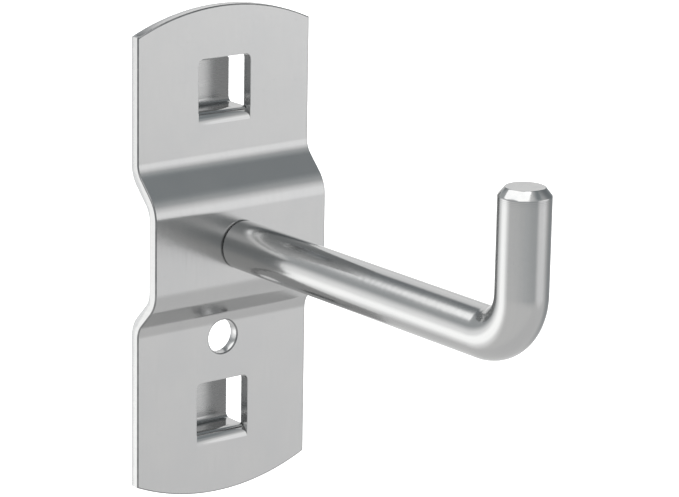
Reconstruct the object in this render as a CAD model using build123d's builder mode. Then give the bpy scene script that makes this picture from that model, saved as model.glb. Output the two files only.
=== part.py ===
from build123d import *
import os
from math import radians, tan

# A hook for a perforated tool board: a bent sheet-steel plate with two pegs, and a bent round rod riveted to it.
# X is to the right seen from the front, Y points back into the board and Z is up. All sizes are in millimetres.
# The board's front face is the plane y = 0, and the origin lies midway between the ends and the sides of the plate.

# Plate
plate_height = 60.0        # over the two arched ends
plate_width = 24.8
end_rise = 2.7             # height of each arched end above its corners
sheet = 1.35               # thickness of the steel sheet

# Raised middle
raise_depth = 3.7          # how far the middle stands forward of the flanges
raise_height = 1.8         # level of its centre line
recess_span = 18.1         # height of the recess behind it, corner to corner at the board
ramp_angle = 45.0          # slope of its two ramps from the board
bend_radius = 2.5          # inside radius of its four bends

# Pegs, lanced from two windows
peg_pitch = 39.7           # distance between the centres of the windows
window_width = 7.5
window_height = 7.95       # from the bend line of the peg to the top
window_corner = 0.75       # radius of the two upper corners
peg_slit = 0.06            # shear gap at each side of a peg
peg_bend_radius = 0.1      # inside radius where the peg leaves the plate
peg_heel_radius = 0.65     # inside radius where the peg turns up
peg_gap = 2.95             # clear distance between the plate's back and the upturned leg
peg_rise = 5.4             # height of the leg's end above the shelf
peg_corner = 0.25          # radius of the two corners of the leg's end

# Lock-screw hole
lock_hole_diameter = 4.15
lock_hole_height = -10.5   # level of its centre

# Rod
rod_diameter = 5.9
rod_reach = 53.0           # from the raised face to the far side of the upturned end
rod_upturn = 20.3          # from the underside of the rod to its tip
rod_bend_radius = 5.6      # to the rod's centre line
tip_flat_diameter = 4.35   # flat left on the chamfered tip
tip_chamfer_height = 0.95
root_chamfer = 0.15        # broken edge of the shoulder that seats on the plate

# Rivet end of the rod
tenon_diameter = 4.0
tenon_clearance = 0.05     # radial, in the plate's hole
head_diameter = 6.4
head_height = 1.3
head_rim = 0.4             # straight edge under the dome

os.makedirs("parts", exist_ok=True)

# Faces and levels that the pieces share
raised_back = -raise_depth
raised_front = raised_back - sheet
recess_half = recess_span / 2
ramp_run = raise_depth / tan(radians(ramp_angle))
plate_end = plate_height / 2
corner_level = plate_end - end_rise
shelf_level = peg_bend_radius + sheet
window_bottom = [side * peg_pitch / 2 - window_height / 2 for side in (1, -1)]

# One peg, drawn with its bend line at level 0: up out of the plate, back as a shelf, and up again as a leg
with BuildPart() as peg:
    with BuildSketch(Plane.YZ):
        with BuildLine():
            FilletPolyline(
                (-sheet, -sheet),
                (-sheet, shelf_level),
                (peg_gap, shelf_level),
                (peg_gap, shelf_level + peg_rise),
                radius=[peg_bend_radius + sheet, peg_heel_radius],
            )
            offset(amount=sheet, side=Side.RIGHT)
        make_face()
    extrude(amount=window_width / 2 - peg_slit, both=True)
    leg_end = peg.faces().sort_by(Axis.Z)[-1]
    fillet(leg_end.edges().filter_by(Axis.Y), radius=peg_corner)

# Back plate: its section is one path along the back face, thickened by the sheet
with BuildPart() as back_plate:
    with BuildSketch(Plane.YZ):
        with BuildLine():
            FilletPolyline(
                (0, -plate_end),
                (0, raise_height - recess_half),
                (raised_back, raise_height - recess_half + ramp_run),
                (raised_back, raise_height + recess_half - ramp_run),
                (0, raise_height + recess_half),
                (0, plate_end),
                radius=[bend_radius + sheet, bend_radius, bend_radius, bend_radius + sheet],
            )
            offset(amount=sheet, side=Side.LEFT)
        make_face()
    extrude(amount=plate_width / 2, both=True)

    # Outline seen from the front: straight sides between two arched ends
    with BuildSketch(Plane.XZ):
        with BuildLine():
            right_side = Line((plate_width / 2, -corner_level), (plate_width / 2, corner_level))
            SagittaArc(right_side @ 1, (-plate_width / 2, corner_level), -end_rise)
            left_side = Line((-plate_width / 2, corner_level), (-plate_width / 2, -corner_level))
            SagittaArc(left_side @ 1, right_side @ 0, -end_rise)
        make_face()
    extrude(amount=-raised_front, mode=Mode.INTERSECT)

    # Windows, and the pegs that were folded back out of them
    for level in window_bottom:
        with BuildSketch(Plane.XZ) as window:
            with Locations((0, level)):
                Rectangle(window_width, window_height, align=(Align.CENTER, Align.MIN))
            fillet(window.vertices().group_by(Axis.Z)[-1], radius=window_corner)
        extrude(amount=sheet, mode=Mode.SUBTRACT)
        with Locations((0, 0, level)):
            add(peg.part)

    # Lock-screw hole, and the rivet hole in the raised middle
    with Locations(Plane(origin=(0, 0, lock_hole_height), z_dir=(0, 1, 0))):
        Hole(radius=lock_hole_diameter / 2)
    with Locations(Plane(origin=(0, raised_back, raise_height), z_dir=(0, 1, 0))):
        Hole(radius=tenon_diameter / 2 + tenon_clearance)

# Hook rod: a straight run, one bend and the upturned end
upright_y = raised_front - rod_reach + rod_diameter / 2
tip_level = raise_height - rod_diameter / 2 + rod_upturn

with BuildPart() as hook_rod:
    with BuildLine():
        FilletPolyline(
            (0, raised_front, raise_height),
            (0, upright_y, raise_height),
            (0, upright_y, tip_level),
            radius=rod_bend_radius,
        )
    with BuildSketch(Plane(origin=(0, raised_front, raise_height), z_dir=(0, -1, 0))):
        Circle(rod_diameter / 2)
    sweep()
    tip = hook_rod.faces().sort_by(Axis.Z)[-1]
    chamfer(
        tip.edges(),
        length=(rod_diameter - tip_flat_diameter) / 2,
        length2=tip_chamfer_height,
        reference=tip,
    )
    shoulder = hook_rod.faces().sort_by(Axis.Y)[-1]
    chamfer(shoulder.edges(), length=root_chamfer)

    # Tenon through the plate, and the peened head that holds it from behind
    dome_height = head_height - head_rim
    dome_radius = ((head_diameter / 2) ** 2 + dome_height**2) / (2 * dome_height)
    with BuildSketch(Plane.YZ):
        with BuildLine():
            stem = Polyline(
                (raised_back + head_height, raise_height),
                (raised_front, raise_height),
                (raised_front, raise_height + tenon_diameter / 2),
                (raised_back, raise_height + tenon_diameter / 2),
                (raised_back, raise_height + head_diameter / 2),
                (raised_back + head_rim, raise_height + head_diameter / 2),
            )
            RadiusArc(stem @ 1, stem @ 0, dome_radius)
        make_face()
    revolve(axis=Axis((0, 0, raise_height), (0, 1, 0)))

back_plate.part.label = "back_plate"
export_step(back_plate.part, "parts/back_plate.step")
hook_rod.part.label = "hook_rod"
export_step(hook_rod.part, "parts/hook_rod.step")
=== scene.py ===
from math import asin, atan2, cos, pi, radians, sin, sqrt, tan

import bmesh
import bpy
from mathutils import Matrix, Vector


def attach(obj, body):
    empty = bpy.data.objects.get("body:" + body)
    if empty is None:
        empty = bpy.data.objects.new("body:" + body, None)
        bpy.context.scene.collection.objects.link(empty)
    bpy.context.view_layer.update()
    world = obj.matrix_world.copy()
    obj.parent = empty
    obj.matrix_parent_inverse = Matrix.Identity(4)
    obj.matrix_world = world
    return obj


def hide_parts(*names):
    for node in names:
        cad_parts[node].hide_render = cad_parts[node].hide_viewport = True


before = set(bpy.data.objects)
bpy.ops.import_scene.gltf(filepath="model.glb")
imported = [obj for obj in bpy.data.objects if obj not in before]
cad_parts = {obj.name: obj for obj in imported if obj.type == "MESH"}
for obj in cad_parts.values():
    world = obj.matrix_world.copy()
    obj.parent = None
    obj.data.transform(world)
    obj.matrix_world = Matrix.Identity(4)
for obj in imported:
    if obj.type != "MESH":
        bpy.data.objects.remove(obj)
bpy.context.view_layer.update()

# Viewpoint: that of the photograph. A long lens looks at the hook from its left and a little from above, and is rolled
# by about one degree.
MM = 0.001
camera_aim = Vector((18.66, 0.0, -2.65)) * MM
camera_distance = 390.9 * MM
camera_azimuth = -38.17
camera_elevation = 14.98
camera_roll = radians(1.01)


def direction(azimuth, elevation):
    azimuth, elevation = radians(azimuth), radians(elevation)
    return Vector((sin(azimuth) * cos(elevation), -cos(azimuth) * cos(elevation), sin(elevation)))


camera_back = direction(camera_azimuth, camera_elevation)
camera_data = bpy.data.cameras.new("view")
camera_data.lens = 167.83
camera_data.sensor_width = 36.0
camera_data.clip_start = 0.01
camera_data.clip_end = 20.0
camera = bpy.data.objects.new("view", camera_data)
camera.rotation_mode = "QUATERNION"
camera.rotation_quaternion = camera_back.to_track_quat("Z", "Y") @ Matrix.Rotation(camera_roll, 3, "Z").to_quaternion()
camera.location = camera_aim + camera_back * camera_distance
bpy.context.scene.collection.objects.link(camera)
bpy.context.scene.camera = camera
bpy.context.scene.view_settings.view_transform = "Standard"

# Studio: a white room whose soft boxes and shaded walls show in the bright metal. Each is a soft-edged patch of the
# sky: its azimuth (0 is towards the viewer's side, 90 the hook's right) and elevation, the half-angles of its full
# and its faded edge, how much taller than wide it is, and its colour.
room_colour = (0.607, 0.630, 0.637)
room_patches = {
    "pale table": (-108, -69, 43, 72, 0.49, (0.998, 0.998, 0.987)),
    "pale floor at the right": (103, -50, 69, 88, 1.41, (0.93, 0.93, 0.925)),
    "shaded ceiling": (100, 49, 1, 47, 3.1, (0.259, 0.283, 0.297)),
    "wide front box": (40, 2, 16, 31, 1.00, (1.23, 1.23, 1.23)),
    "front soft box": (50, 2, 22, 26, 0.62, (1.55, 1.55, 1.55)),
    "shaded ceiling in front": (44, 69, 22, 28, 2.81, (0.366, 0.399, 0.414)),
    "pale left wall": (-81, 54, 24, 57, 0.82, (1.13, 1.14, 1.14)),
    "shaded back wall": (164, 30, 8, 22, 0.62, (0.272, 0.292, 0.305)),
    "white backdrop": (135, 25, 14, 21, 0.42, (1.12, 1.12, 1.12)),
    "back left soft box": (-135, -18, 1, 33, 1.08, (1.62, 1.62, 1.61)),
    "back left lamp": (-134, -21, 4, 19, 0.75, (2.1, 2.1, 2.08)),
    "top lamp": (-104, 61, 39, 42, 0.92, (2.12, 2.12, 2.11)),
    "plain ceiling": (142, 80, 14, 19, 1.0, (1.05, 1.05, 1.04)),
    "dim left wall": (-98, 25, 20, 27, 1.0, (0.75, 0.76, 0.765)),
    "small ceiling lamp": (5, 77, 7, 13, 1.0, (3.6, 3.6, 3.6)),
    "small lamp in front": (-31, 36, 8, 15, 1.44, (1.42, 1.42, 1.42)),
    "dim gap in front": (-30, -8, 1, 14, 0.72, (0.742, 0.764, 0.776)),
}
world = bpy.data.worlds.new("studio")
world.use_nodes = True
bpy.context.scene.world = world
sky = world.node_tree
sky.nodes.clear()
sky_direction = sky.nodes.new("ShaderNodeTexCoord").outputs["Generated"]


def sky_step(operation, one, other=None):
    node = sky.nodes.new("ShaderNodeVectorMath")
    node.operation = operation
    sky.links.new(one, node.inputs[0])
    if other is not None:
        node.inputs[1].default_value = other
    return node.outputs["Value" if operation == "DOT_PRODUCT" else "Vector"]


def combine(tree, operation, *values):
    node = tree.nodes.new("ShaderNodeMath")
    node.operation = operation
    for socket, value in zip(node.inputs, values):
        if isinstance(value, float):
            socket.default_value = value
        else:
            tree.links.new(value, socket)
    return node.outputs[0]


def spread(tree, value, low, high, to_low=0.0, to_high=1.0):
    scaled = tree.nodes.new("ShaderNodeMapRange")
    scaled.interpolation_type = "SMOOTHSTEP"
    for name, amount in (("From Min", low), ("From Max", high), ("To Min", to_low), ("To Max", to_high)):
        scaled.inputs[name].default_value = amount
    tree.links.new(value, scaled.inputs["Value"])
    return scaled.outputs["Result"]


def blend(tree, share, one, other):
    node = tree.nodes.new("ShaderNodeMix")
    node.data_type = "RGBA"
    tree.links.new(share, node.inputs[0])
    for socket, colour in ((node.inputs[6], one), (node.inputs[7], other)):
        if isinstance(colour, tuple):
            socket.default_value = (*colour, 1.0)
        else:
            tree.links.new(colour, socket)
    return node.outputs[2]


sky_colour = room_colour
for azimuth, elevation, full, faded, tallness, patch_colour in room_patches.values():
    squeeze = Vector((1.0, 1.0, 1.0 / tallness))
    looking = sky_step("NORMALIZE", sky_step("MULTIPLY", sky_direction, squeeze))
    nearness = sky_step("DOT_PRODUCT", looking, (direction(azimuth, elevation) * squeeze).normalized())
    patch = spread(sky, nearness, cos(radians(faded)), cos(radians(full)))
    sky_colour = blend(sky, patch, sky_colour, patch_colour)
room_light = sky.nodes.new("ShaderNodeBackground")
sky.links.new(sky_colour, room_light.inputs["Color"])

# White paper hangs behind the hook. The viewer sees nothing else past it, and the metal mirrors it where it stands.
paper_full = 12
paper_faded = 24
white_paper = sky.nodes.new("ShaderNodeBackground")
white_paper.inputs["Color"].default_value = (1.0, 1.0, 1.0, 1.0)
sky_ray = sky.nodes.new("ShaderNodeLightPath").outputs
behind_hook = sky_step("DOT_PRODUCT", sky_direction, -camera_back)
paper_place = spread(sky, behind_hook, cos(radians(paper_faded)), cos(radians(paper_full)))
paper_mirrored = combine(sky, "MULTIPLY", sky_ray["Is Glossy Ray"], paper_place)
paper_past_glass = combine(sky, "MAXIMUM", sky_ray["Is Transmission Ray"], paper_mirrored)
paper_seen = combine(sky, "MAXIMUM", sky_ray["Is Camera Ray"], paper_past_glass)
sky_mix = sky.nodes.new("ShaderNodeMixShader")
sky.links.new(paper_seen, sky_mix.inputs[0])
sky.links.new(room_light.outputs[0], sky_mix.inputs[1])
sky.links.new(white_paper.outputs[0], sky_mix.inputs[2])
sky_out = sky.nodes.new("ShaderNodeOutputWorld")
sky.links.new(sky_mix.outputs[0], sky_out.inputs[0])

# Floor: a wide sheet of pale paper well below the hook, which hangs free. Seen directly it is lifted to paper white
# and keeps the soft shadow that the hook throws on it. The metal mirrors the studio's pale table and floor in its
# place.
floor_level = -150 * MM
floor_half_side = 3.0
floor_colour = (0.88, 0.88, 0.88, 1.0)
floor_lift = 0.6
floor_bmesh = bmesh.new()
bmesh.ops.create_grid(
    floor_bmesh, x_segments=1, y_segments=1, size=floor_half_side, matrix=Matrix.Translation((0, 0, floor_level))
)
floor_mesh = bpy.data.meshes.new("floor")
floor_bmesh.to_mesh(floor_mesh)
floor_bmesh.free()
floor = bpy.data.objects.new("floor", floor_mesh)
bpy.context.scene.collection.objects.link(floor)
floor.visible_glossy = False
floor_paper = bpy.data.materials.new("floor_paper")
floor_paper.use_nodes = True
paper = floor_paper.node_tree
paper.nodes.clear()
paper_diffuse = paper.nodes.new("ShaderNodeBsdfDiffuse")
paper_diffuse.inputs["Color"].default_value = floor_colour
paper_lift = paper.nodes.new("ShaderNodeEmission")
paper_lift.inputs["Color"].default_value = (1.0, 1.0, 1.0, 1.0)
paper_ray = paper.nodes.new("ShaderNodeLightPath").outputs
lifted = combine(paper, "MAXIMUM", paper_ray["Is Camera Ray"], paper_ray["Is Glossy Ray"])
lifted = combine(paper, "MAXIMUM", lifted, paper_ray["Is Transmission Ray"])
paper.links.new(combine(paper, "MULTIPLY", lifted, floor_lift), paper_lift.inputs["Strength"])
paper_sum = paper.nodes.new("ShaderNodeAddShader")
paper.links.new(paper_diffuse.outputs[0], paper_sum.inputs[0])
paper.links.new(paper_lift.outputs[0], paper_sum.inputs[1])
paper_out = paper.nodes.new("ShaderNodeOutputMaterial")
paper.links.new(paper_sum.outputs[0], paper_out.inputs["Surface"])
floor.data.materials.append(floor_paper)

# Back plate: one piece of 1.35 mm steel sheet, bright zinc plated. It is blanked with two windows and a screw hole, its
# middle is pressed forward between two 45-degree ramps, and the tongues of the windows are folded back and up as pegs.
# It is modelled flat in millimetres, with its cut edges already rounded, and bent after that.
sheet = 1.35
plate_half_width = 12.4
plate_half_height = 30.0
end_rise = 2.7
raise_level = 1.8
raise_depth = 3.7
recess_half = 9.05
inner_bend = 2.5
outer_bend = inner_bend + sheet
half_ramp = radians(22.5)
peg_pitch = 39.7
window_half_width = 3.75
window_height = 7.95
window_corner = 0.75
window_edge_round = 0.06
window_margin = 0.01
wall_start = 0.1
peg_half_width = 3.74
peg_bend = 0.1 + sheet
peg_heel = 0.65
peg_gap = 2.95
peg_rise = 5.4
peg_corner = 0.25
peg_edge_round = 0.1
screw_hole_level = -10.5
screw_hole_radius = 2.075
rivet_hole_radius = 2.05
front_edge_round = 0.16
back_edge_round = 0.07
same_level = 1e-4
flat_half = recess_half + sheet * tan(half_ramp) - raise_depth - outer_bend * tan(half_ramp)
flange_start = recess_half + sheet * tan(half_ramp) + inner_bend * tan(half_ramp)
window_bottoms = [side * peg_pitch / 2 - window_height / 2 for side in (1, -1)]

zinc = (0.440, 0.442, 0.443)
zinc_pale = (0.456, 0.456, 0.454)
zinc_lined = (0.415, 0.42, 0.424)
zinc_speck = (0.33, 0.34, 0.35)
sheared_steel = (0.45, 0.452, 0.453)
torn_steel = (0.40, 0.405, 0.41)
# Rounded rims: a painted shade, dark enough to draw a thin dark line along each rim.
rim_painted_shade = (0.19, 0.193, 0.196)
rim_painted_shade_pale = (0.25, 0.252, 0.254)
sheet_dullness = 0.19
bend_dullness = 0.012
peg_dullness = 0.105
leg_dullness = 0.17

plate_bmesh = bmesh.new()


def picked(geom, kind):
    return [item for item in geom if isinstance(item, kind)]


def with_rims(faces):
    return faces + list({e for f in faces for e in f.edges}) + list({v for f in faces for v in f.verts})


# The blank's outline: a corner swung over each end, joined by the straight sides.
end_radius = (plate_half_width**2 + end_rise**2) / (2 * end_rise)
end_sweep = 2 * asin(plate_half_width / end_radius)
end_corners = []
for up in (1, -1):
    corner = plate_bmesh.verts.new((plate_half_width, -sheet, up * (plate_half_height - end_rise)))
    swung = bmesh.ops.spin(
        plate_bmesh,
        geom=[corner],
        cent=(0, -sheet, up * (plate_half_height - end_radius)),
        axis=(0, -up, 0),
        angle=end_sweep,
        steps=48,
        use_merge=False,
        use_duplicate=False,
    )
    end_corners.append((corner, picked(swung["geom_last"], bmesh.types.BMVert)[0]))
for top, bottom in zip(*end_corners):
    plate_bmesh.edges.new((top, bottom))

# Windows with two rounded upper corners, and the two round holes.
for bottom in window_bottoms:
    left = [
        (-window_half_width, -sheet, bottom + window_height),
        (-window_half_width, -sheet, bottom + peg_bend + wall_start),
        (-window_half_width, -sheet, bottom + peg_bend),
        (-window_half_width, -sheet, bottom),
        (-peg_half_width, -sheet, bottom),
    ]
    ring = [plate_bmesh.verts.new(corner) for corner in left + [(-x, y, z) for x, y, z in reversed(left)]]
    for one, other in zip(ring, ring[1:] + ring[:1]):
        plate_bmesh.edges.new((one, other))
    bmesh.ops.bevel(
        plate_bmesh,
        geom=[ring[0], ring[-1]],
        offset=window_corner,
        offset_type="OFFSET",
        segments=8,
        profile=0.5,
        affect="VERTICES",
        material=-1,
    )
for level, radius, sides in ((screw_hole_level, screw_hole_radius, 72), (raise_level, rivet_hole_radius, 48)):
    bmesh.ops.create_circle(
        plate_bmesh,
        cap_ends=False,
        segments=sides,
        radius=radius,
        matrix=Matrix.Translation((0, -sheet, level)) @ Matrix.Rotation(pi / 2, 4, "X"),
    )
bmesh.ops.triangle_fill(plate_bmesh, use_beauty=True, edges=plate_bmesh.edges[:], normal=(0, -1, 0))
bmesh.ops.dissolve_limit(plate_bmesh, angle_limit=radians(0.5), verts=[], edges=plate_bmesh.edges[:])

# The sheet's thickness. Its faces are in slot 0 and what the shears cut in slot 1. The edges that tumbling rounded are
# in slot 2, whose colour is a painted shade along the rims, and the pegs will be in slot 3.
back_skin = bmesh.ops.extrude_face_region(plate_bmesh, geom=plate_bmesh.faces[:], use_keep_orig=True)
bmesh.ops.translate(plate_bmesh, verts=picked(back_skin["geom"], bmesh.types.BMVert), vec=(0, sheet, 0))
bmesh.ops.recalc_face_normals(plate_bmesh, faces=plate_bmesh.faces[:])
for face in plate_bmesh.faces:
    face.material_index = 1 if abs(face.normal.y) < 0.5 else 0


def round_rim(mesh, width, surface, belongs):
    rim = [
        e
        for e in mesh.edges
        if sorted(f.material_index for f in e.link_faces) in ([0, 1], [1, 3]) and all(belongs(v.co) for v in e.verts)
    ]
    bmesh.ops.bevel(
        mesh,
        geom=rim,
        offset=width,
        offset_type="OFFSET",
        segments=3,
        profile=0.5,
        affect="EDGES",
        clamp_overlap=False,
        loop_slide=False,
        material=surface,
    )


def in_window(point):
    beside = abs(point.x) < window_half_width + window_margin
    return beside and abs(abs(point.z) - peg_pitch / 2) < window_height / 2 + window_margin


def above_peg_bend(point):
    if not in_window(point):
        return False
    above_bottom = min(point.z - bottom for bottom in window_bottoms if point.z - bottom > -window_margin)
    return above_bottom > peg_bend + wall_start / 2


# The rims are rounded most in front, where the shears entered.
round_rim(plate_bmesh, front_edge_round, 2, lambda point: not in_window(point) and point.y < -sheet / 2)
round_rim(plate_bmesh, back_edge_round, 2, lambda point: not in_window(point) and point.y > -sheet / 2)
round_rim(plate_bmesh, window_edge_round, 0, above_peg_bend)

# Bend lines: each side of the blank is scored at every fifth degree of its bends, and pushed to its depth.
bend_angles = [radians(degrees) for degrees in range(0, 46, 5)]
for skin_level, raised_bend, flange_bend in ((-sheet, outer_bend, inner_bend), (0.0, inner_bend, outer_bend)):
    rows = [flat_half + raised_bend * sin(angle) for angle in bend_angles]
    rows += [flange_start - flange_bend * sin(angle) for angle in bend_angles]
    for height in rows + [-row for row in rows]:
        skin = [f for f in plate_bmesh.faces if all(abs(v.co.y - skin_level) < 0.45 * sheet for v in f.verts)]
        bmesh.ops.bisect_plane(
            plate_bmesh,
            geom=with_rims(skin),
            dist=0.0005,
            plane_co=(0, 0, raise_level + height),
            plane_no=(0, 0, 1),
        )


def pressed_depth(height, raised_bend, flange_bend):
    ramp_start = flat_half + raised_bend * sin(2 * half_ramp)
    ramp_end = flange_start - flange_bend * sin(2 * half_ramp)
    if height <= flat_half:
        return -raise_depth
    if height <= ramp_start:
        return -raise_depth + raised_bend - sqrt(raised_bend**2 - (height - flat_half) ** 2)
    if height <= ramp_end:
        return -raise_depth + raised_bend * (1 - cos(2 * half_ramp)) + height - ramp_start
    if height < flange_start:
        return sqrt(flange_bend**2 - (flange_start - height) ** 2) - flange_bend
    return 0.0


# Each point keeps its place in the flat blank, so that the grain follows the bends.
blank_place = plate_bmesh.verts.layers.float_vector.new("blank")
for vertex in plate_bmesh.verts:
    vertex[blank_place] = vertex.co * MM
    height = abs(vertex.co.z - raise_level)
    front_share = -vertex.co.y / sheet
    vertex.co.y += front_share * pressed_depth(height, outer_bend, inner_bend)
    vertex.co.y += (1 - front_share) * pressed_depth(height, inner_bend, outer_bend)

# Pegs: the lower wall of each window is rolled back, run out as a shelf, rolled up and run out as a leg.
for bottom in window_bottoms:
    blank_faces = set(plate_bmesh.faces)
    tongue = [
        f
        for f in plate_bmesh.faces
        if all(abs(v.co.z - bottom) < same_level and abs(v.co.x) < peg_half_width + same_level for v in f.verts)
    ]
    for centre, turn, steps, run in (
        ((0, peg_bend - sheet, bottom), (-1, 0, 0), 18, (0, peg_gap - peg_heel - peg_bend + sheet, 0)),
        ((0, peg_gap - peg_heel, bottom + peg_bend + peg_heel), (1, 0, 0), 12, (0, 0, peg_rise - peg_heel)),
    ):
        rolled = bmesh.ops.spin(
            plate_bmesh,
            geom=with_rims(tongue),
            cent=centre,
            axis=turn,
            angle=pi / 2,
            steps=steps,
            use_duplicate=False,
        )
        rolled_end = picked(rolled["geom_last"], bmesh.types.BMFace)
        run_out = bmesh.ops.extrude_face_region(plate_bmesh, geom=rolled_end)["geom"]
        bmesh.ops.translate(plate_bmesh, verts=picked(run_out, bmesh.types.BMVert), vec=run)
        bmesh.ops.delete(plate_bmesh, geom=rolled_end, context="FACES_ONLY")
        tongue = picked(run_out, bmesh.types.BMFace)
    bmesh.ops.recalc_face_normals(plate_bmesh, faces=plate_bmesh.faces[:])
    for face in plate_bmesh.faces:
        if face not in blank_faces:
            face.material_index = 1 if abs(face.normal.x) > 0.5 or face in tongue else 3
    bmesh.ops.bevel(
        plate_bmesh,
        geom=[e for e in tongue[0].edges if abs(e.verts[0].co.x - e.verts[1].co.x) < same_level],
        offset=peg_corner,
        offset_type="OFFSET",
        segments=6,
        profile=0.5,
        affect="EDGES",
        material=-1,
    )
round_rim(plate_bmesh, peg_edge_round, 3, lambda point: in_window(point) and point.y > peg_bend - sheet - same_level)
for vertex in plate_bmesh.verts:
    if in_window(vertex.co) and abs(vertex.co.x) < peg_half_width + same_level:
        vertex[blank_place] = vertex.co * MM

for face in plate_bmesh.faces:
    face.smooth = True
bmesh.ops.scale(plate_bmesh, vec=(MM, MM, MM), verts=plate_bmesh.verts[:])
plate_mesh = bpy.data.meshes.new("back_plate")
plate_bmesh.to_mesh(plate_mesh)
plate_bmesh.free()
plate = bpy.data.objects.new("plate_formed", plate_mesh)
bpy.context.scene.collection.objects.link(plate)
for surface in ("plate_bright", "plate_cut_edge", "plate_worn_edge_painted_shade", "plate_peg"):
    plate_mesh.materials.append(bpy.data.materials.new(surface))
plate_shading = plate.modifiers.new("flat faces lead", "WEIGHTED_NORMAL")
plate_shading.weight = 100
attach(plate, "root")
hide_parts("back_plate")


def metal_layers(material):
    material.use_nodes = True
    tree = material.node_tree
    tree.nodes.clear()
    metal = tree.nodes.new("ShaderNodeBsdfPrincipled")
    metal.inputs["Metallic"].default_value = 1.0
    out = tree.nodes.new("ShaderNodeOutputMaterial")
    tree.links.new(metal.outputs[0], out.inputs["Surface"])
    return tree, metal


def placed(tree, attribute, stretch=(1, 1, 1), turn=(0, 0, 0)):
    source = tree.nodes.new("ShaderNodeAttribute")
    source.attribute_name = attribute
    laid = tree.nodes.new("ShaderNodeMapping")
    laid.inputs["Rotation"].default_value = turn
    laid.inputs["Scale"].default_value = stretch
    tree.links.new(source.outputs["Vector"], laid.inputs["Vector"])
    return laid.outputs["Vector"]


def distance_along(tree, attribute, axis):
    parts = tree.nodes.new("ShaderNodeSeparateXYZ")
    tree.links.new(placed(tree, attribute), parts.inputs[0])
    return parts.outputs[axis]


def grain(tree, place, per_metre, detail=2.0, rough=0.5):
    noise = tree.nodes.new("ShaderNodeTexNoise")
    noise.inputs["Scale"].default_value = per_metre
    noise.inputs["Detail"].default_value = detail
    noise.inputs["Roughness"].default_value = rough
    tree.links.new(place, noise.inputs["Vector"])
    return noise.outputs["Fac"]


def total(tree, *values):
    so_far = values[0]
    for value in values[1:]:
        so_far = combine(tree, "ADD", so_far, value)
    return so_far


def relief(tree, metal, height, micrometres):
    bump = tree.nodes.new("ShaderNodeBump")
    bump.inputs["Strength"].default_value = 1.0
    bump.inputs["Distance"].default_value = micrometres * 1e-6
    tree.links.new(height, bump.inputs["Height"])
    tree.links.new(bump.outputs[0], metal.inputs["Normal"])


def plated_skin(material, attribute, along, level, peel_micrometres=2.2, line_micrometres=0.15):
    """Bright zinc over rolled or drawn steel: faint clouds, fine grain along the working direction, a few hair
    scratches across it and small dull specks."""
    tree, metal = metal_layers(material)
    clouds = grain(tree, placed(tree, attribute), 170, 3.0, 0.55)
    lines = grain(tree, placed(tree, attribute, tuple(1.0 if a == 0 else 0.04 for a in along)), 5200, 3.0, 0.6)
    peel = grain(tree, placed(tree, attribute), 1500, 1.0, 0.4)
    specks = spread(tree, grain(tree, placed(tree, attribute), 3400, 2.0, 0.5), 0.70, 0.80)
    scratch_place = placed(tree, attribute, (1, 1, 0.02), (0.5, 0.9, 0.3))
    hairs = spread(tree, grain(tree, scratch_place, 4600, 0.0, 0.5), 0.74, 0.80)
    clouded = blend(tree, spread(tree, clouds, 0.3, 0.7), zinc, zinc_pale)
    lined = blend(tree, spread(tree, lines, 0.25, 0.75, 0.0, 0.25), clouded, zinc_lined)
    specked = blend(tree, spread(tree, specks, 0.0, 1.0, 0.0, 0.5), lined, zinc_speck)
    tree.links.new(specked, metal.inputs["Base Color"])
    dullness = total(
        tree,
        spread(tree, clouds, 0.3, 0.7, level - 0.008, level + 0.01),
        spread(tree, lines, 0.3, 0.7, -0.012, 0.015),
        spread(tree, specks, 0.0, 1.0, 0.0, 0.06),
        spread(tree, hairs, 0.0, 1.0, 0.0, 0.03),
    )
    tree.links.new(dullness, metal.inputs["Roughness"])
    height = total(
        tree,
        spread(tree, peel, 0.0, 1.0, 0.0, peel_micrometres),
        spread(tree, lines, 0.0, 1.0, 0.0, line_micrometres),
        spread(tree, hairs, 0.0, 1.0, 0.0, -0.09),
    )
    relief(tree, metal, height, 1.0)
    return tree, metal, dullness


# The sheet's faces: rolled lengthwise, and a little duller where the press stretched them.
tree, metal, dullness = plated_skin(bpy.data.materials["plate_bright"], "blank", (0, 0, 1), sheet_dullness)
from_middle = combine(tree, "ABSOLUTE", combine(tree, "SUBTRACT", distance_along(tree, "blank", "Z"), raise_level * MM))
past_flat = spread(tree, from_middle, (flat_half - 0.3) * MM, (flat_half + 0.5) * MM, 0.0, bend_dullness)
before_flange = spread(tree, from_middle, (flange_start - 0.5) * MM, (flange_start + 0.3) * MM, 1.0, 0.0)
bends = combine(tree, "MULTIPLY", past_flat, before_flange)
tree.links.new(total(tree, dullness, bends), metal.inputs["Roughness"])

# The pegs: the folding tool wiped fine lines across them, burnished their bends and shelves and left their legs duller.
tree, metal, dullness = plated_skin(bpy.data.materials["plate_peg"], "blank", (1, 0, 0), peg_dullness, 0.5, 0.12)
leg = spread(tree, distance_along(tree, "blank", "Y"), 2.3 * MM, 2.9 * MM, 0.0, leg_dullness)
tree.links.new(total(tree, dullness, leg), metal.inputs["Roughness"])

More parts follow.
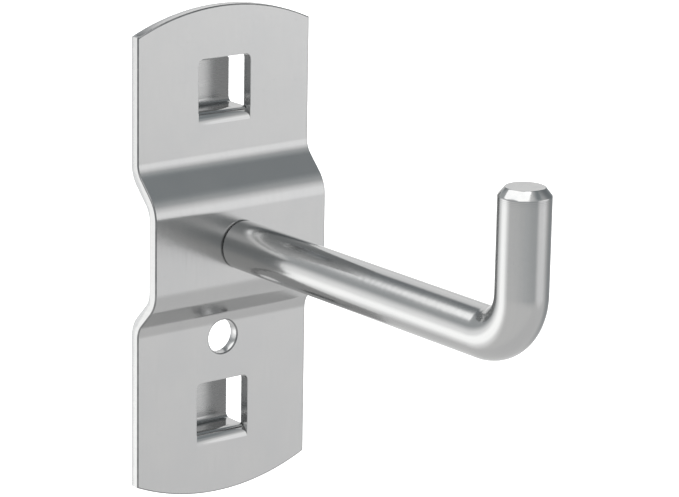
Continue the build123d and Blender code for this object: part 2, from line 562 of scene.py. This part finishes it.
# What the shears cut: a burnished band on the side where they entered and a torn, duller one behind it.
tree, metal = metal_layers(bpy.data.materials["plate_cut_edge"])
unevenness = grain(tree, placed(tree, "blank", (1, 0.2, 1)), 1400, 3.0)
ragged_depth = combine(tree, "MULTIPLY_ADD", unevenness, 0.5 * MM, distance_along(tree, "blank", "Y"))
torn = spread(tree, ragged_depth, -0.45 * MM, -0.10 * MM)
shear_lines = grain(tree, placed(tree, "blank", (1, 0.06, 1)), 7000, 3.0, 0.6)
tear = grain(tree, placed(tree, "blank"), 6000, 3.0, 0.6)
tree.links.new(blend(tree, torn, sheared_steel, torn_steel), metal.inputs["Base Color"])
tree.links.new(
    total(tree, spread(tree, shear_lines, 0.3, 0.7, 0.11, 0.19), spread(tree, torn, 0.0, 1.0, 0.0, 0.12)),
    metal.inputs["Roughness"],
)
torn_relief = combine(tree, "MULTIPLY", torn, tear)
relief(tree, metal, total(tree, spread(tree, shear_lines, 0.0, 1.0, 0.0, 0.5), torn_relief), 3.0)

# Edges that tumbling and handling rounded, with small nicks. Their colour is a painted shade, darker than the zinc, so
# that a thin dark line runs along every rim.
tree, metal = metal_layers(bpy.data.materials["plate_worn_edge_painted_shade"])
rubbed = grain(tree, placed(tree, "blank"), 900, 4.0, 0.6)
nicks = spread(tree, grain(tree, placed(tree, "blank"), 2600), 0.66, 0.76)
tree.links.new(blend(tree, spread(tree, rubbed, 0.35, 0.65), rim_painted_shade, rim_painted_shade_pale), metal.inputs["Base Color"])
tree.links.new(
    total(tree, spread(tree, rubbed, 0.3, 0.7, 0.12, 0.2), spread(tree, nicks, 0.0, 1.0, 0.0, 0.1)),
    metal.inputs["Roughness"],
)
relief(tree, metal, spread(tree, nicks, 0.0, 1.0, 0.0, -1.0), 4.0)

# Hook rod: 5.9 mm round steel bar, zinc plated, bent once and chamfered at its tip. Its other end is turned down to a
# tenon, which passes through the raised middle of the plate and is peened over behind it.
rod_radius = 2.95
rod_reach = 53.0
rod_upturn = 20.3
rod_bend = 5.6
rod_edge_round = 0.1
tip_flat_radius = 2.175
tip_chamfer = 0.95
tool_ring_reach = 1.1
root_groove_width = 0.22
root_groove_depth = 0.5
tenon_radius = 2.0
head_radius = 3.2
head_height = 1.3
head_rim = 0.4
raised_back = -raise_depth
raised_front = raised_back - sheet
upright_y = raised_front - rod_reach + rod_radius
bend_start = upright_y + rod_bend
tip_level = raise_level - rod_radius + rod_upturn
dome_height = head_height - head_rim
dome_radius = (head_radius**2 + dome_height**2) / (2 * dome_height)
dome_sweep = asin(head_radius / dome_radius)

tool_ring_grey = (0.30, 0.305, 0.31)
turned_steel = (0.44, 0.443, 0.445)
turned_steel_pale = (0.47, 0.47, 0.468)
peened_steel = (0.38, 0.385, 0.39)
peened_steel_pale = (0.46, 0.46, 0.458)
bar_dullness = 0.14

rod_bmesh = bmesh.new()
crown = rod_bmesh.verts.new((0, raised_back + head_height, raise_level))
dome = bmesh.ops.spin(
    rod_bmesh,
    geom=[crown],
    cent=(0, raised_back + head_height - dome_radius, raise_level),
    axis=(1, 0, 0),
    angle=dome_sweep,
    steps=10,
    use_duplicate=False,
)
last = picked(dome["geom_last"], bmesh.types.BMVert)[0]
for depth, radius in (
    (raised_back, head_radius),
    (raised_back, tenon_radius),
    (raised_front, tenon_radius),
    (raised_front, rod_radius - root_groove_depth),
    (raised_front - root_groove_width, rod_radius),
    (bend_start, rod_radius),
):
    last = bmesh.ops.extrude_vert_indiv(rod_bmesh, verts=[last])["verts"][0]
    last.co = Vector((0, depth, raise_level + radius))
bmesh.ops.spin(
    rod_bmesh,
    geom=rod_bmesh.edges[:] + rod_bmesh.verts[:],
    cent=(0, 0, raise_level),
    axis=(0, 1, 0),
    angle=2 * pi,
    steps=96,
    use_merge=True,
    use_duplicate=False,
)
bmesh.ops.remove_doubles(rod_bmesh, verts=rod_bmesh.verts[:], dist=same_level)
bend_ring = [e for e in rod_bmesh.edges if all(abs(v.co.y - bend_start) < same_level for v in e.verts)]
bend = bmesh.ops.spin(
    rod_bmesh,
    geom=bend_ring + list({v for e in bend_ring for v in e.verts}),
    cent=(0, bend_start, raise_level + rod_bend),
    axis=(-1, 0, 0),
    angle=pi / 2,
    steps=36,
    use_duplicate=False,
)
ring = picked(bend["geom_last"], bmesh.types.BMEdge)
for level, radius in ((tip_level - tip_chamfer, rod_radius), (tip_level, tip_flat_radius)):
    step = bmesh.ops.extrude_edge_only(rod_bmesh, edges=ring)["geom"]
    ends = picked(step, bmesh.types.BMVert)
    for v in ends:
        around = Vector((v.co.x, v.co.y - upright_y, 0)).normalized() * radius
        v.co = Vector((around.x, upright_y + around.y, level))
    ring = [e for e in picked(step, bmesh.types.BMEdge) if all(v in ends for v in e.verts)]
bmesh.ops.contextual_create(rod_bmesh, geom=ring)
bmesh.ops.recalc_face_normals(rod_bmesh, faces=rod_bmesh.faces[:])

# Each point also keeps its place in the straight bar, so that the drawn grain follows the bend.
bar_place = rod_bmesh.verts.layers.float_vector.new("bar")
for vertex in rod_bmesh.verts:
    across, depth, height = vertex.co.x, vertex.co.y - bend_start, vertex.co.z - raise_level
    if depth < 0 and height < rod_bend:
        turn = atan2(-depth, rod_bend - height)
        depth, height = -rod_bend * turn, rod_bend - sqrt(depth**2 + (rod_bend - height) ** 2)
    elif depth < 0:
        depth, height = -rod_bend * pi / 2 - (height - rod_bend), rod_bend + depth
    vertex[bar_place] = Vector((across, depth, height)) * MM
for face in rod_bmesh.faces:
    face.smooth = True
    middle = face.calc_center_median()
    if middle.z > tip_level - tip_chamfer + same_level:
        face.material_index = 1
    elif middle.y > raised_back - same_level:
        face.material_index = 2
bmesh.ops.scale(rod_bmesh, vec=(MM, MM, MM), verts=rod_bmesh.verts[:])
rod_mesh = bpy.data.meshes.new("hook_rod")
rod_bmesh.to_mesh(rod_mesh)
rod_bmesh.free()
rod = bpy.data.objects.new("rod_bent", rod_mesh)
bpy.context.scene.collection.objects.link(rod)
for surface in ("rod_drawn", "rod_turned", "rod_peened"):
    rod_mesh.materials.append(bpy.data.materials.new(surface))
rod_round = rod.modifiers.new("soft corners", "BEVEL")
rod_round.width = rod_edge_round * MM
rod_round.segments = 3
rod_round.limit_method = "ANGLE"
rod_round.angle_limit = radians(25)
rod_shading = rod.modifiers.new("flat faces lead", "WEIGHTED_NORMAL")
rod_shading.weight = 100
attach(rod, "root")
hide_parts("hook_rod")

# The bar's skin, drawn lengthwise. Just below the chamfer the turning tool left a few faint rings on it.
tree, metal, dullness = plated_skin(bpy.data.materials["rod_drawn"], "bar", (0, 1, 0), bar_dullness)
chamfer_place = -rod_bend * pi / 2 - (tip_level - tip_chamfer - raise_level - rod_bend)
tool_rings = tree.nodes.new("ShaderNodeTexWave")
tool_rings.wave_type = "BANDS"
tool_rings.bands_direction = "Y"
tool_rings.inputs["Scale"].default_value = 1650
tool_rings.inputs["Distortion"].default_value = 0.4
tree.links.new(placed(tree, "bar"), tool_rings.inputs["Vector"])
below_chamfer = spread(
    tree,
    distance_along(tree, "bar", "Y"),
    chamfer_place * MM,
    (chamfer_place + tool_ring_reach) * MM,
    0.5,
    0.0,
)
turned = combine(tree, "MULTIPLY", below_chamfer, tool_rings.outputs["Fac"])
skin_colour = metal.inputs["Base Color"].links[0].from_socket
tree.links.new(blend(tree, turned, skin_colour, tool_ring_grey), metal.inputs["Base Color"])

# The chamfered tip, turned: fine rings round its middle.
tree, metal = metal_layers(bpy.data.materials["rod_turned"])
rings = tree.nodes.new("ShaderNodeTexWave")
rings.wave_type = "RINGS"
rings.rings_direction = "Y"
rings.inputs["Scale"].default_value = 1500
rings.inputs["Distortion"].default_value = 1.5
rings.inputs["Detail"].default_value = 2.0
rings.inputs["Detail Scale"].default_value = 0.6
tree.links.new(placed(tree, "bar"), rings.inputs["Vector"])
chatter = grain(tree, placed(tree, "bar"), 1100, 3.0)
tree.links.new(
    blend(tree, spread(tree, chatter, 0.3, 0.7), turned_steel, turned_steel_pale), metal.inputs["Base Color"]
)
tree.links.new(
    total(tree, spread(tree, rings.outputs["Fac"], 0.0, 1.0, 0.07, 0.11), spread(tree, chatter, 0.3, 0.7, -0.01, 0.03)),
    metal.inputs["Roughness"],
)
relief(tree, metal, rings.outputs["Fac"], 0.6)

# The peened head behind the plate: hammered, so dimpled and duller.
tree, metal = metal_layers(bpy.data.materials["rod_peened"])
dimples = tree.nodes.new("ShaderNodeTexVoronoi")
dimples.feature = "SMOOTH_F1"
dimples.inputs["Scale"].default_value = 1300
tree.links.new(placed(tree, "bar"), dimples.inputs["Vector"])
dull = grain(tree, placed(tree, "bar"), 2500, 4.0, 0.6)
tree.links.new(blend(tree, spread(tree, dull, 0.3, 0.7), peened_steel, peened_steel_pale), metal.inputs["Base Color"])
tree.links.new(spread(tree, dull, 0.3, 0.7, 0.2, 0.34), metal.inputs["Roughness"])
relief(tree, metal, dimples.outputs["Distance"], 45.0)
